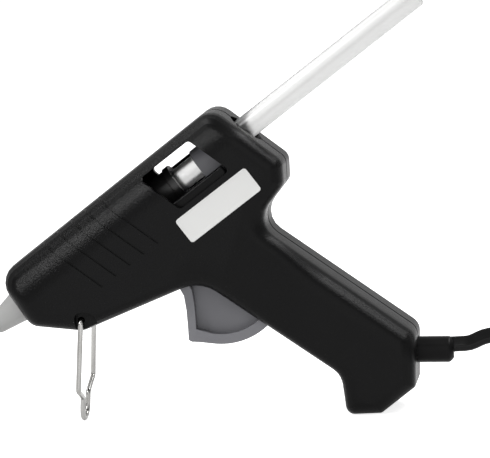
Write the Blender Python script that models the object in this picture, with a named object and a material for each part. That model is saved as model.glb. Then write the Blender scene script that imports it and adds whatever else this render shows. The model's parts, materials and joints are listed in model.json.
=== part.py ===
# Mini hot glue gun standing on its wire stand and the flat toe of its handle.
# Metres. The pieces are laid out along the barrel: x runs from the nozzle to the back,
# z is square to the barrel, and the glue stick's centre line is x = anything, y = z = 0.
# The last step leans the whole barrel frame nose down, as the gun stands on a table.

import math

import bmesh
import bpy
from mathutils import Matrix, Vector

# Driving dimensions of the housing
body_length = 0.090
body_depth = 0.100
body_half_width = 0.013
wall = 0.002
edge_round = 0.0045
standing_tilt = math.radians(34.85)
toe_length = 0.0103

# Shares of body_length and body_depth that place the housing's corners, and the
# share of corner_round that each corner takes. They run clockwise from the nose.
corner_round = 0.006
nose_top_share = (-0.947, 0.1085, 1.1)
back_top_share = (-0.0295, 0.113, 0.95)
back_low_share = (0.049, -0.141, 0.60)
back_under_share = (0.004, -0.198, 0.45)
back_notch_share = (-0.151, -0.234, 1.4)
heel_rear_share = (0.0424, -0.780, 0.75)
heel_low_share = (-0.0685, -0.907, 0.25)
toe_rear_share = (-0.213, -0.9085, 0.25)
instep_share = (-0.240, -0.745, 1.1)
trigger_root_share = (-0.415, -0.270, 1.8)
chin_share = (-0.829, -0.1735, 0.8)
nose_low_share = (-0.957, -0.067, 0.85)
toe_round_share = 0.45

# Clearances
seat_gap = 0.0003
running_gap = 0.0004
parting_gap = 0.0003
cut_overrun = 0.004

# Glue stick, sleeve and carriage
stick_radius = 0.0036
stick_length = 0.100
stick_reach = 0.0648
bore_gap = 0.0003
sleeve_wall = 0.0013
sleeve_length_share = 0.189
sleeve_overlap = 0.0060
sleeve_lip = 0.0022
sleeve_lip_proud = 0.0005
clamp_wire = 0.0010
carriage_length = 0.0080
carriage_back_room_share = 0.0867
carriage_ring_wall = 0.0010
carriage_half_width = 0.0050
carriage_foot = 0.0130
tongue_bar = 0.0025
rear_hole_radius = 0.0055

# Melt chamber, nozzle and heater
chamber_radius = 0.0056
chamber_throat = 0.0016
chamber_set_back = 0.0035
heater_case_set_back_share = 0.098
heater_lead_room_share = 0.049
heater_case_half_width = 0.0052
heater_case_depth = 0.0125
heater_case_wall = 0.0011
heater_thickness = 0.0026
electrode_thickness = 0.0005
electrode_tab = 0.0030
nozzle_flange_radius = 0.0040
nozzle_tip_radius = 0.0011
nozzle_orifice = 0.0006
nozzle_reach = 0.0150
nozzle_hex_radius = 0.0030
cover_root_radius = 0.0051
cover_tip_radius = 0.0028
cover_length = 0.0140
cover_inside = 0.0030
cover_wall = 0.0010

# Trigger
pivot_share = (-0.358, -0.294)
trigger_radius = 0.0206
trigger_rim = 0.0030
trigger_rim_half_width = 0.0066
trigger_web_half_width = 0.0035
trigger_hub_radius = 0.0036
trigger_arm_reach = 0.0200
trigger_arm_half_width = 0.0017
trigger_arm_tip_radius = 0.0020
trigger_arm_neck_half = 0.0010
trigger_arm_root_half = 0.0030
trigger_throw = math.radians(20.0)
pin_radius = 0.0015
pin_boss_wall = 0.0018
pin_bite = 0.0028

# Return spring
spring_radius = 0.0017
spring_wire = 0.0005
spring_turns = 9

# Window, grooves and fasteners
rake = math.radians(16.5)
window_centre_share = (-0.228, 0.0055)
window_length = 0.0189
window_height = 0.0144
window_round = 0.0012
groove_count = 5
groove_width = 0.0007
groove_depth = 0.0005
groove_pitch = 0.00535
groove_first_share = (-0.4675, -0.0080)
groove_height = 0.0192
groove_over_top = 0.0060
screw_shares = ((-0.640, -0.163), (0.002, -0.128), (-0.150, -0.520), (-0.168, -0.838))
screw_shank_radius = 0.0011
screw_head_radius = 0.0022
screw_head_height = 0.0014
screw_length = 0.0140
screw_boss_radius = 0.0029
screw_recess = 0.0022
screw_slot_width = 0.0005

# Wire stand
stand_pivot_share = (-0.807, -0.1445)
stand_wire_radius = 0.0008
stand_recess_depth = 0.0024
stand_recess_front = 0.0017
stand_recess_back = 0.0048
stand_recess_top = 0.0026
stand_recess_rounds = (0.0018, 0.0030)
stand_bite = 0.0034
stand_foot_half_width = 0.0046
stand_kink_drop = 0.0210
stand_kink_length = 0.0034
stand_splay = 0.0014
stand_bend = 0.0014
stand_foot_bend = 0.0036
stand_lean = 0.0030

# Strain relief, mains cord, coil and plug
bush_drop_share = 0.832
bush_dip = math.radians(2.15)
bush_length = 0.0107
bush_radius = 0.0039
bush_round = 0.0012
bush_flange_radius = 0.0052
bush_flange_length = 0.0016
cord_rise = 0.0015
cord_diameter = 0.0046
lead_diameter = 0.0014
hank_fold_radius = 0.0138
hank_run = 0.0500
hank_pitch = 0.0052
hank_forward = 0.0790
hank_tail = 0.0046
plug_length = 0.0360
plug_half_width = 0.0130
plug_half_height = 0.0072
plug_neck_length = 0.0120
plug_neck_radius = 0.0029
plug_round = 0.0030
plug_pin_radius = 0.0020
plug_pin_metal_radius = 0.0019
plug_pin_nose = 0.0011
plug_pin_length = 0.0190
plug_pin_sleeve = 0.0100
plug_station_shares = ((0.0, 0.0), (0.25, 0.04), (0.34, 0.62), (0.45, 1.0), (0.94, 1.0), (1.0, 0.86))
plug_pin_spacing = 0.0190
tie_width = 0.0040
tie_thickness = 0.0010

# Fineness of round shapes
corner_steps = 5
edge_steps = 4
round_sides = 24
small_sides = 12
loop_points = 24


def clear_scene():
    for thing in list(bpy.data.objects):
        bpy.data.objects.remove(thing, do_unlink=True)


def material(name, colour, roughness, metallic=0.0):
    made = bpy.data.materials.new(name)
    made.use_nodes = True
    shader = made.node_tree.nodes["Principled BSDF"]
    shader.inputs["Base Color"].default_value = (*colour, 1.0)
    shader.inputs["Roughness"].default_value = roughness
    shader.inputs["Metallic"].default_value = metallic
    made.diffuse_color = (*colour, 1.0)
    return made


def share_point(share):
    """A point of the side view, from shares of the body's length and depth."""
    return Vector((share[0] * body_length, share[1] * body_depth))


# The standing frame: how barrel directions lie when the gun stands on the table
level = Vector((math.cos(standing_tilt), -math.sin(standing_tilt)))
upward = Vector((math.sin(standing_tilt), math.cos(standing_tilt)))
toe_rear = share_point(toe_rear_share)
toe_front = toe_rear - toe_length * level


def standing_height(point):
    """Height over the table of a point of the side view."""
    return (point - toe_rear).dot(upward)


def housing_corners():
    """The housing's outline in the side view, clockwise from the nose: x, z, radius."""
    shares = (
        nose_top_share, back_top_share, back_low_share, back_under_share, back_notch_share,
        heel_rear_share, heel_low_share, toe_rear_share, None,
        instep_share, trigger_root_share, chin_share, nose_low_share,
    )
    corners = []
    for share in shares:
        if share is None:
            corners.append((toe_front, toe_round_share * corner_round))
        else:
            corners.append((share_point(share), share[2] * corner_round))
    return corners


def inset_corners(corners, depth):
    """The same outline moved inwards by depth, with each rounding following."""
    count = len(corners)
    moved = []
    for i in range(count):
        before, here, after = (corners[(i + k) % count][0] for k in (-1, 0, 1))
        first = (here - before).normalized()
        second = (after - here).normalized()
        turn = first.x * second.y - first.y * second.x
        inward_first = Vector((first.y, -first.x))
        inward_second = Vector((second.y, -second.x))
        bisector = (inward_first + inward_second).normalized()
        point = here + bisector * (depth / bisector.dot(inward_first))
        radius = corners[i][1]
        radius = radius + depth if turn > 0 else max(radius - depth, window_round / 4)
        moved.append((point, radius))
    return moved


def rounded(corners, steps=corner_steps):
    """Points along an outline whose corners are arcs of the given radii."""
    count = len(corners)
    points = []
    for i in range(count):
        before, here, after = (corners[(i + k) % count][0] for k in (-1, 0, 1))
        to_before = (before - here).normalized()
        to_after = (after - here).normalized()
        half = to_before.angle(to_after) / 2
        reach = corners[i][1] / math.tan(half)
        reach = min(reach, 0.48 * (before - here).length, 0.48 * (after - here).length)
        radius = reach * math.tan(half)
        centre = here + (to_before + to_after).normalized() * (radius / math.sin(half))
        start = here + to_before * reach - centre
        sweep = math.pi - 2 * half
        side = to_before.x * to_after.y - to_before.y * to_after.x
        turning = sweep if side < 0 else -sweep
        for k in range(steps + 1):
            spun = Matrix.Rotation(turning * k / steps, 2) @ start
            points.append(centre + spun)
    return points


def new_object(name, mesh_bm, finish, origin=Vector((0, 0, 0))):
    bmesh.ops.recalc_face_normals(mesh_bm, faces=mesh_bm.faces)
    bmesh.ops.translate(mesh_bm, vec=-origin, verts=mesh_bm.verts)
    mesh = bpy.data.meshes.new(name)
    mesh_bm.to_mesh(mesh)
    mesh_bm.free()
    made = bpy.data.objects.new(name, mesh)
    bpy.context.scene.collection.objects.link(made)
    made.location = origin
    if finish is not None:
        mesh.materials.append(finish)
    mesh.shade_smooth()
    mesh.set_sharp_from_angle(angle=math.radians(35))
    return made


def loft(name, sections, finish, origin=Vector((0, 0, 0))):
    """A closed skin through sections of equally many points, capped at both ends."""
    built = bmesh.new()
    rings = [[built.verts.new(point) for point in section] for section in sections]
    count = len(rings[0])
    for lower, upper in zip(rings, rings[1:]):
        for i in range(count):
            j = (i + 1) % count
            built.faces.new((lower[i], lower[j], upper[j], upper[i]))
    built.faces.new(rings[0])
    built.faces.new(reversed(rings[-1]))
    return new_object(name, built, finish, origin)


def prism(name, outline, low, high, finish, origin=Vector((0, 0, 0))):
    """An outline of the side view extruded across the gun, from y low to y high."""
    built = bmesh.new()
    face = built.faces.new([built.verts.new((p.x, low, p.y)) for p in outline])
    grown = bmesh.ops.extrude_face_region(built, geom=[face])
    lifted = [v for v in grown["geom"] if isinstance(v, bmesh.types.BMVert)]
    bmesh.ops.translate(built, vec=(0, high - low, 0), verts=lifted)
    return new_object(name, built, finish, origin)


def block(name, low, high, finish):
    """A box between two corners."""
    built = bmesh.new()
    bmesh.ops.create_cube(built, size=1.0)
    size = [b - a for a, b in zip(low, high)]
    middle = [(a + b) / 2 for a, b in zip(low, high)]
    bmesh.ops.scale(built, vec=size, verts=built.verts)
    bmesh.ops.translate(built, vec=middle, verts=built.verts)
    return new_object(name, built, finish)


def turned(name, profile, finish, sides=round_sides, closed=False, turn=None):
    """A profile of (along, radius) spun about the x axis, then placed by turn."""
    built = bmesh.new()
    verts = [built.verts.new((along, 0, radius)) for along, radius in profile]
    pairs = list(zip(verts, verts[1:]))
    if closed:
        pairs.append((verts[-1], verts[0]))
    edges = [built.edges.new(pair) for pair in pairs]
    bmesh.ops.spin(
        built, geom=verts + edges, cent=(0, 0, 0), axis=(1, 0, 0),
        angle=math.tau, steps=sides, use_merge=True,
    )
    bmesh.ops.remove_doubles(built, verts=built.verts, dist=merge_distance)
    bmesh.ops.dissolve_degenerate(built, edges=built.edges, dist=merge_distance)
    if turn is not None:
        bmesh.ops.transform(built, matrix=turn, verts=built.verts)
    return new_object(name, built, finish)


merge_distance = 0.000005


def rod(name, start, end, radius, finish, sides=small_sides):
    """A plain round bar between two points."""
    along = end - start
    built = bmesh.new()
    bmesh.ops.create_cone(
        built, cap_ends=True, segments=sides, radius1=radius, radius2=radius,
        depth=along.length,
    )
    turn = along.to_track_quat("Z", "Y").to_matrix().to_4x4()
    turn.translation = (start + end) / 2
    bmesh.ops.transform(built, matrix=turn, verts=built.verts)
    return new_object(name, built, finish)


def tube(name, points, radius, finish, resolution=2, origin=Vector((0, 0, 0)), ring=False):
    """A round bar along points, as a bevelled curve."""
    curve = bpy.data.curves.new(name, "CURVE")
    curve.dimensions = "3D"
    curve.bevel_depth = radius
    curve.bevel_resolution = resolution
    curve.use_fill_caps = not ring
    spline = curve.splines.new("POLY")
    spline.points.add(len(points) - 1)
    for slot, point in zip(spline.points, points):
        slot.co = (*(point - origin), 1.0)
    spline.use_smooth = True
    spline.use_cyclic_u = ring
    made = bpy.data.objects.new(name, curve)
    bpy.context.scene.collection.objects.link(made)
    made.location = origin
    curve.materials.append(finish)
    return made


def boolean(target, tool, operation="DIFFERENCE"):
    """Cuts or joins a tool, which stays in the file as a hidden wire guide."""
    change = target.modifiers.new(operation.lower(), "BOOLEAN")
    change.operation = operation
    change.solver = "EXACT"
    change.object = tool
    tool.hide_render = True
    tool.display_type = "WIRE"
    guides.append(tool)
    return target


guides = []
black = material("black plastic", (0.020, 0.020, 0.022), 0.50)
grey = material("grey plastic", (0.190, 0.190, 0.200), 0.45)
pale_silicone = material("grey silicone", (0.420, 0.420, 0.410), 0.60)
dark_silicone = material("black silicone", (0.012, 0.012, 0.012), 0.35)
glue = material("glue", (0.860, 0.860, 0.840), 0.30)
steel = material("plated wire", (0.620, 0.610, 0.590), 0.28, 1.0)
brass = material("brass", (0.700, 0.520, 0.250), 0.35, 1.0)
aluminium = material("aluminium", (0.700, 0.700, 0.710), 0.40, 1.0)
ceramic = material("ceramic", (0.080, 0.080, 0.085), 0.80)
vinyl = material("cord vinyl", (0.018, 0.018, 0.018), 0.38)


# Places that several pieces share
pivot = share_point(pivot_share)
bore_radius = stick_radius + bore_gap
sleeve_radius = bore_radius + sleeve_wall
nose_x = min(nose_low_share[0], nose_top_share[0]) * body_length
chamber_front = nose_x + chamber_set_back
arm_tip = pivot + trigger_arm_reach * Vector((math.tan(trigger_throw / 2), 1.0))
throw_reach = (arm_tip - pivot).length
feed_stroke = 2 * trigger_arm_reach * math.tan(trigger_throw / 2)
notch_half = trigger_arm_tip_radius + seat_gap
tongue_front = arm_tip.x - notch_half - tongue_bar
clamp_ring = chamber_radius + sleeve_wall + 2 * seat_gap + clamp_wire / 2
tongue_top = -(clamp_ring + clamp_wire / 2 + running_gap)
stand_pivot = share_point(stand_pivot_share)
stand_leg_y = body_half_width - stand_recess_depth / 2
shelf_top = -carriage_foot - seat_gap
slot_half_width = trigger_rim_half_width + running_gap
spring_z = -carriage_foot + spring_radius + spring_wire + running_gap
back_slope = share_point(back_low_share) - share_point(back_top_share)


def back_x_at(height):
    """Where the outside of the back lies at a height of the side view."""
    top = share_point(back_top_share)
    return top.x + back_slope.x * (height - top.y) / back_slope.y


# Along the barrel, each piece is placed from the one behind it
carriage_rear = back_x_at(0) - wall - carriage_back_room_share * body_length
carriage_front = carriage_rear - carriage_length
sleeve_rear = carriage_front - feed_stroke - 2 * running_gap
sleeve_front = sleeve_rear - sleeve_length_share * body_length
chamber_rear = sleeve_front + sleeve_overlap - seat_gap
clamp_place = (sleeve_front + chamber_rear) / 2
case_front = chamber_front + heater_case_set_back_share * body_length
case_rear = sleeve_front - electrode_tab - heater_lead_room_share * body_length
shelf_front = tongue_front - feed_stroke
shelf_low = shelf_top - wall




def raked(centre, half_length, half_height):
    """Corners of a window whose ends lean with the handle, clockwise."""
    lean = half_height * math.tan(rake)
    return [
        centre + Vector((-half_length - lean, half_height)),
        centre + Vector((half_length - lean, half_height)),
        centre + Vector((half_length + lean, -half_height)),
        centre + Vector((-half_length + lean, -half_height)),
    ]


def half_sections(depth, side):
    """Sections from the parting line to the side, with the outer edge rounded over."""
    base = housing_corners()
    reach = body_half_width - depth
    turn_over = max(edge_round - depth, wall / 2)
    sections = []
    inner = parting_gap / 2 if depth == 0 else -cut_overrun
    for across, inward in ((inner, 0.0), (reach - turn_over, 0.0)):
        outline = rounded(inset_corners(base, depth + inward))
        sections.append([Vector((p.x, side * across, p.y)) for p in outline])
    for k in range(1, edge_steps + 1):
        angle = math.pi / 2 * k / edge_steps
        inward = turn_over * (1 - math.cos(angle))
        across = reach - turn_over + turn_over * math.sin(angle)
        outline = rounded(inset_corners(base, depth + inward))
        sections.append([Vector((p.x, side * across, p.y)) for p in outline])
    return sections


def across_rod(name, place, inner, outer, radius, sides=small_sides):
    """A round bar across the gun at a place of the side view, between two y values."""
    start = Vector((place.x, inner, place.y))
    end = Vector((place.x, outer, place.y))
    return rod(name, start, end, radius, None, sides)


def bush_axis_point():
    """Where the cord leaves the heel: on the upright rear face of the heel."""
    top = share_point(heel_rear_share)
    low = share_point(heel_low_share)
    height = -bush_drop_share * body_depth
    return top + (low - top) * ((height - top.y) / (low.y - top.y))


def bush_frame():
    """Turns a profile along x to run out of the heel, square to its rear face."""
    place = bush_axis_point()
    turn = Matrix.Rotation(standing_tilt + bush_dip, 4, "Y")
    turn.translation = Vector((place.x, 0, place.y))
    return turn


def stand_pocket():
    """The recess that lets a leg of the stand swing back, open below, clockwise."""
    deep = body_depth * stand_pocket_share
    front, back = -stand_recess_front, stand_recess_back
    corners = (
        (front, stand_recess_top, stand_recess_rounds[0]),
        (back, stand_recess_top, stand_recess_rounds[1]),
        (back, -deep, wall / 4), (front, -deep, wall / 4),
    )
    return [(stand_pivot + level * x + upward * z, radius) for x, z, radius in corners]


stand_pocket_share = 0.09


def hollow(side):
    """The space inside one half, with the bosses, ribs and shelf left standing."""
    tag = "left" if side < 0 else "right"
    space = loft(f"space_{tag}", half_sections(wall, side), None)
    far = side * (body_half_width + cut_overrun)
    near = side * parting_gap / 2
    for n, share in enumerate(screw_shares):
        place = share_point(share)
        boss = across_rod(f"screw_boss_{tag}_{n}", place, near, far, screw_boss_radius)
        boolean(space, boss)
    pin_boss = across_rod(
        f"pin_boss_{tag}", pivot, side * slot_half_width, far, pin_radius + pin_boss_wall
    )
    boolean(space, pin_boss)
    bite_end = side * (stand_leg_y - stand_wire_radius - stand_bite - wall)
    around = rounded(inset_corners(stand_pocket(), -wall), 3)
    stand_boss = prism(f"stand_boss_{tag}", around, min(bite_end, far), max(bite_end, far), None)
    boolean(space, stand_boss)
    rib_places = (
        (chamber_front + seat_gap, body_depth * rib_reach_share),
        (sleeve_front - 2 * wall, chamber_radius / 2),
    )
    for n, (start, drop) in enumerate(rib_places):
        rib = block(
            f"rib_{tag}_{n}",
            (start, min(near, far), -drop),
            (start + wall, max(near, far), body_depth * rib_reach_share), None,
        )
        boolean(space, rib)
    shelf = block(
        f"shelf_{tag}",
        (shelf_front, min(side * shelf_gap, far), shelf_low),
        (back_x_at(shelf_top) - wall / 2, max(side * shelf_gap, far), shelf_top), None,
    )
    boolean(space, shelf)
    return space


rib_reach_share = 0.20
shelf_gap = trigger_arm_half_width + running_gap


def housing(side):
    """One moulded half of the housing."""
    tag = "left" if side < 0 else "right"
    half = loft(f"housing_{tag}", half_sections(0.0, side), black)
    boolean(half, hollow(side))
    far = side * (body_half_width + cut_overrun)
    centre = share_point(window_centre_share)
    window = [(p, window_round) for p in raked(centre, window_length / 2, window_height / 2)]
    opening = prism(
        f"window_{tag}", rounded(window, 3), min(-side * cut_overrun, far),
        max(-side * cut_overrun, far), None,
    )
    boolean(half, opening)
    rear = rod(
        f"rear_hole_{tag}", Vector((back_x_at(0) - 3 * wall, 0, 0)),
        Vector((back_x_at(0) + 2 * wall, 0, 0)), rear_hole_radius, None, round_sides,
    )
    boolean(half, rear)
    barrel = rod(
        f"barrel_seat_{tag}", Vector((nose_x - wall, 0, 0)),
        Vector((chamber_rear, 0, 0)), chamber_radius + seat_gap, None, round_sides,
    )
    boolean(half, barrel)
    clamp_room = rod(
        f"clamp_room_{tag}", Vector((clamp_place - clamp_wire, 0, 0)),
        Vector((clamp_place + clamp_wire, 0, 0)), clamp_ring + clamp_wire / 2 + seat_gap,
        None, round_sides,
    )
    boolean(half, clamp_room)
    slot = block(
        f"trigger_slot_{tag}",
        (trigger_front_x - running_gap, -slot_half_width, pivot.y - trigger_radius - running_gap),
        (pivot.x + trigger_radius / 2, slot_half_width, shelf_top - 2 * wall), None,
    )
    boolean(half, slot)
    bush_hole = turned(
        f"bush_hole_{tag}",
        ((-3 * wall, 0), (-3 * wall, bush_flange_radius + seat_gap), (-wall, bush_flange_radius + seat_gap),
         (-wall, bush_radius + seat_gap), (wall, bush_radius + seat_gap), (wall, 0)),
        None, round_sides, turn=bush_frame(),
    )
    boolean(half, bush_hole)
    pin_hole = across_rod(
        f"pin_hole_{tag}", pivot, 0, side * (slot_half_width + pin_bite), pin_radius + seat_gap
    )
    boolean(half, pin_hole)
    floor = side * (body_half_width - stand_recess_depth)
    recess = prism(
        f"stand_recess_{tag}", rounded(stand_pocket(), 4), min(floor, far), max(floor, far), None
    )
    boolean(half, recess)
    eye = across_rod(
        f"stand_eye_{tag}", stand_pivot,
        side * (stand_leg_y - stand_wire_radius - stand_bite), far,
        stand_wire_radius + seat_gap,
    )
    boolean(half, eye)
    core = loft(f"groove_core_{tag}", half_sections(groove_depth, side), None)
    for n in range(groove_count):
        start = share_point(groove_first_share) - Vector((groove_pitch * n, 0))
        low, high = min(side * groove_over_top, far), max(side * groove_over_top, far)
        groove = raked(start, groove_width / 2, groove_height / 2)
        lean = (groove[0] - groove[3]).normalized() * cut_overrun
        groove[0] += lean
        groove[1] += lean
        cutter = prism(f"groove_{tag}_{n}", groove, low, high, None)
        boolean(cutter, core)
        boolean(half, cutter)
    for n, share in enumerate(screw_shares):
        place = share_point(share)
        if side > 0:
            seat = body_half_width - screw_recess - screw_head_height
            boolean(half, across_rod(
                f"head_well_{n}", place, seat, far, screw_head_radius + seat_gap
            ))
            boolean(half, across_rod(
                f"shank_hole_{n}", place, -cut_overrun, far, screw_shank_radius + seat_gap, 8
            ))
        else:
            tip = body_half_width - screw_recess - screw_head_height - screw_length
            boolean(half, across_rod(
                f"pilot_{n}", place, cut_overrun, tip - 2 * seat_gap,
                screw_shank_radius + seat_gap, 8,
            ))
    return half


def housing_screws():
    for n, share in enumerate(screw_shares):
        place = share_point(share)
        seat = body_half_width - screw_recess - screw_head_height + seat_gap
        top = seat + screw_head_height
        turn = Matrix.Rotation(math.pi / 2, 4, "Z")
        turn.translation = Vector((place.x, 0, place.y))
        screw = turned(
            f"housing_screw_{n + 1}",
            ((seat - screw_length, 0), (seat - screw_length + screw_shank_radius, screw_shank_radius),
             (seat, screw_shank_radius), (seat, screw_head_radius),
             (top - screw_head_height / 3, screw_head_radius), (top, screw_head_radius * 0.7), (top, 0)),
            steel, small_sides, turn=turn,
        )
        for quarter in range(2):
            long_way = screw_head_radius * 0.6
            short_way = screw_slot_width / 2
            half = (long_way, short_way) if quarter == 0 else (short_way, long_way)
            cross = block(
                f"drive_{n}_{quarter}",
                (place.x - half[0], top - screw_head_height / 2, place.y - half[1]),
                (place.x + half[0], top + cut_overrun, place.y + half[1]), None,
            )
            boolean(screw, cross)


trigger_face_shares = (
    (-0.578, 0.207), (-0.598, 0.084), (-0.695, -0.094), (-0.806, -0.262), (-0.905, -0.405),
)
trigger_toe_shares = ((-0.945, -0.463), (-0.925, -0.510), (-0.834, -0.586))
trigger_front_x = pivot.x + trigger_face_shares[0][0] * trigger_radius - running_gap


def trigger_outline(radius, inward):
    """The quadrant that a finger pulls: front face, round toe and an arc about the pivot."""
    face = [pivot + Vector(s) * trigger_radius + Vector((inward, 0)) for s in trigger_face_shares]
    toe = [pivot + Vector(s) * radius for s in trigger_toe_shares if inward == 0]
    toe_start = math.radians(224)
    arc_end = math.radians(277)
    points = face + toe
    for k in range(arc_points + 1):
        angle = toe_start + (arc_end - toe_start) * k / arc_points
        points.append(pivot + radius * Vector((math.cos(angle), math.sin(angle))))
    return points


arc_points = 10
rear_edge_share = (0.36, -0.30)


def trigger_piece():
    """The trigger: a web with a wide rim, a hub on its pin and an arm up to the carriage."""
    origin = Vector((pivot.x, 0, pivot.y))
    outer = trigger_outline(trigger_radius, 0)
    inner = trigger_outline(trigger_radius - trigger_rim, trigger_rim)
    rear = [pivot + Vector(rear_edge_share) * trigger_radius]
    crown = [pivot + Vector((0.0, trigger_hub_radius))]
    web = prism(
        "trigger", outer + rear + crown, -trigger_web_half_width, trigger_web_half_width, grey, origin
    )
    rim = prism(
        "trigger_rim", outer + list(reversed(inner)), -trigger_rim_half_width,
        trigger_rim_half_width, grey,
    )
    boolean(web, rim, "UNION")
    hub = across_rod(
        "trigger_hub", pivot, -trigger_rim_half_width, trigger_rim_half_width, trigger_hub_radius,
        round_sides,
    )
    boolean(web, hub, "UNION")
    arm = prism(
        "trigger_arm", arm_outline(), -trigger_arm_half_width, trigger_arm_half_width, grey
    )
    boolean(web, arm, "UNION")
    bore = across_rod(
        "trigger_bore", pivot, -body_half_width, body_half_width, pin_radius + seat_gap
    )
    boolean(web, bore)
    return web


def arm_outline():
    """A tapered lever with a round tip on a narrow neck, from the pivot to the carriage."""
    lean = (arm_tip - pivot).normalized()
    side = Vector((lean.y, -lean.x))
    tip_angle = math.atan2(lean.y, lean.x)
    wrap = math.pi - math.asin(trigger_arm_neck_half / trigger_arm_tip_radius)
    points = [pivot - side * trigger_arm_root_half]
    for k in range(small_sides + 1):
        angle = tip_angle + wrap - 2 * wrap * k / small_sides
        points.append(arm_tip + trigger_arm_tip_radius * Vector((math.cos(angle), math.sin(angle))))
    points.append(pivot + side * trigger_arm_root_half)
    return points


def trigger_pin():
    reach = slot_half_width + pin_bite - seat_gap
    return rod(
        "trigger_pin", Vector((pivot.x, -reach, pivot.y)), Vector((pivot.x, reach, pivot.y)),
        pin_radius, steel,
    )


def carriage():
    """The slide that grips the stick: a ring on a foot, and a tongue notched for the arm."""
    ring = carriage_ring_wall + bore_radius
    section = []
    for k in range(small_sides + 1):
        angle = math.pi * k / small_sides
        section.append(Vector((math.cos(angle) * ring, math.sin(angle) * ring)))
    section.append(Vector((-carriage_half_width, -ring)))
    section.append(Vector((-carriage_half_width, -carriage_foot)))
    section.append(Vector((carriage_half_width, -carriage_foot)))
    section.append(Vector((carriage_half_width, -ring)))
    origin = Vector((carriage_front, 0, 0))
    ends = [[Vector((x, p.x, p.y)) for p in section] for x in (carriage_front, carriage_rear)]
    slide = loft("carriage", ends, grey, origin)
    tongue = block(
        "carriage_tongue", (tongue_front, -carriage_half_width, -carriage_foot),
        (carriage_front + wall, carriage_half_width, tongue_top), None,
    )
    boolean(slide, tongue, "UNION")
    notch = block(
        "carriage_notch",
        (arm_tip.x - notch_half, -trigger_arm_half_width - running_gap, -carriage_foot - wall),
        (arm_tip.x + notch_half, trigger_arm_half_width + running_gap, tongue_top + wall), None,
    )
    boolean(slide, notch)
    bore = rod(
        "carriage_bore", Vector((carriage_front - wall, 0, 0)),
        Vector((carriage_rear + wall, 0, 0)), bore_radius, None, round_sides,
    )
    boolean(slide, bore)
    return slide


def return_spring():
    """A pull spring from the carriage back to the housing's upper rear screw boss."""
    start = carriage_rear + seat_gap + spring_wire / 2
    end = share_point(screw_shares[1]).x - screw_boss_radius - seat_gap - spring_wire / 2
    steps = spring_turns * 8
    points = []
    for k in range(steps + 1):
        angle = math.tau * spring_turns * k / steps
        points.append(Vector((
            start + (end - start) * k / steps,
            spring_radius * math.cos(angle),
            spring_z + spring_radius * math.sin(angle),
        )))
    return tube("return_spring", points, spring_wire / 2, steel, 0)


def glue_stick():
    front = stick_reach - stick_length
    chamfer = bore_gap * 2
    return turned(
        "glue_stick",
        ((front, 0), (front, stick_radius - chamfer), (front + chamfer, stick_radius),
         (stick_reach - chamfer, stick_radius), (stick_reach, stick_radius - chamfer), (stick_reach, 0)),
        glue, round_sides,
    )


def feed_sleeve():
    """The silicone inlet that guides the stick into the hot chamber, lipped in the window."""
    step = chamber_rear + seat_gap
    over = chamber_radius + seat_gap
    outer = over + sleeve_wall
    lip = sleeve_rear - sleeve_lip
    return turned(
        "feed_sleeve",
        ((sleeve_front, over), (sleeve_front, outer), (step + sleeve_wall, outer),
         (step + 2 * sleeve_wall, sleeve_radius), (lip, sleeve_radius),
         (lip, sleeve_radius + sleeve_lip_proud), (sleeve_rear, sleeve_radius + sleeve_lip_proud),
         (sleeve_rear, bore_radius), (step, bore_radius), (step, over)),
        dark_silicone, round_sides, closed=True,
    )


def sleeve_clamp():
    """A wire ring that squeezes the sleeve onto the chamber."""
    points = []
    for k in range(round_sides):
        angle = math.tau * k / round_sides
        points.append(Vector((
            clamp_place, clamp_ring * math.cos(angle), clamp_ring * math.sin(angle)
        )))
    return tube("sleeve_clamp", points, clamp_wire / 2, steel, 1, ring=True)


def melt_chamber():
    """The cast barrel that melts the stick, with the heater's case cast on below."""
    profile = (
        (chamber_front, chamber_throat), (chamber_front, chamber_radius),
        (chamber_rear, chamber_radius), (chamber_rear, bore_radius),
        (chamber_front + 3 * chamber_radius, bore_radius),
        (chamber_front + 2 * chamber_radius, chamber_throat),
    )
    body = turned("melt_chamber", profile, aluminium, round_sides, closed=True)
    case = block(
        "heater_case", (case_front, -heater_case_half_width, -heater_case_depth),
        (case_rear, heater_case_half_width, -bore_radius - wall / 2), None,
    )
    boolean(body, case, "UNION")
    room = heater_case_half_width - heater_case_wall
    inside = block(
        "heater_slot",
        (case_front - wall, -room, -heater_case_depth + heater_case_wall),
        (case_rear + wall, room, heater_top), None,
    )
    boolean(body, inside)
    return body


heater_top = -chamber_radius - seat_gap


def heater_stack():
    """The heating ceramic between its two contact plates, stacked in the case."""
    floor = -heater_case_depth + heater_case_wall
    spare = heater_top - floor - heater_thickness - 2 * electrode_thickness
    step = spare / 4
    half = heater_case_half_width - heater_case_wall - seat_gap
    front = case_front + seat_gap
    rear = case_rear - seat_gap
    base = floor + step
    for name, thick, finish, extra in (
        ("lower_electrode", electrode_thickness, brass, electrode_tab),
        ("heating_ceramic", heater_thickness, ceramic, 0.0),
        ("upper_electrode", electrode_thickness, brass, electrode_tab),
    ):
        plate = block(name, (front, -half, base), (rear, half, base + thick), finish)
        if extra:
            side = -1 if name == "lower_electrode" else 1
            inner, outer = sorted((side * half / 4, side * half))
            tab = block(
                f"{name}_tab", (rear - wall, inner, base), (rear + extra, outer, base + thick), None
            )
            boolean(plate, tab, "UNION")
        electrode_heights[name] = base + thick / 2
        base += thick + step


electrode_heights = {}


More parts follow.
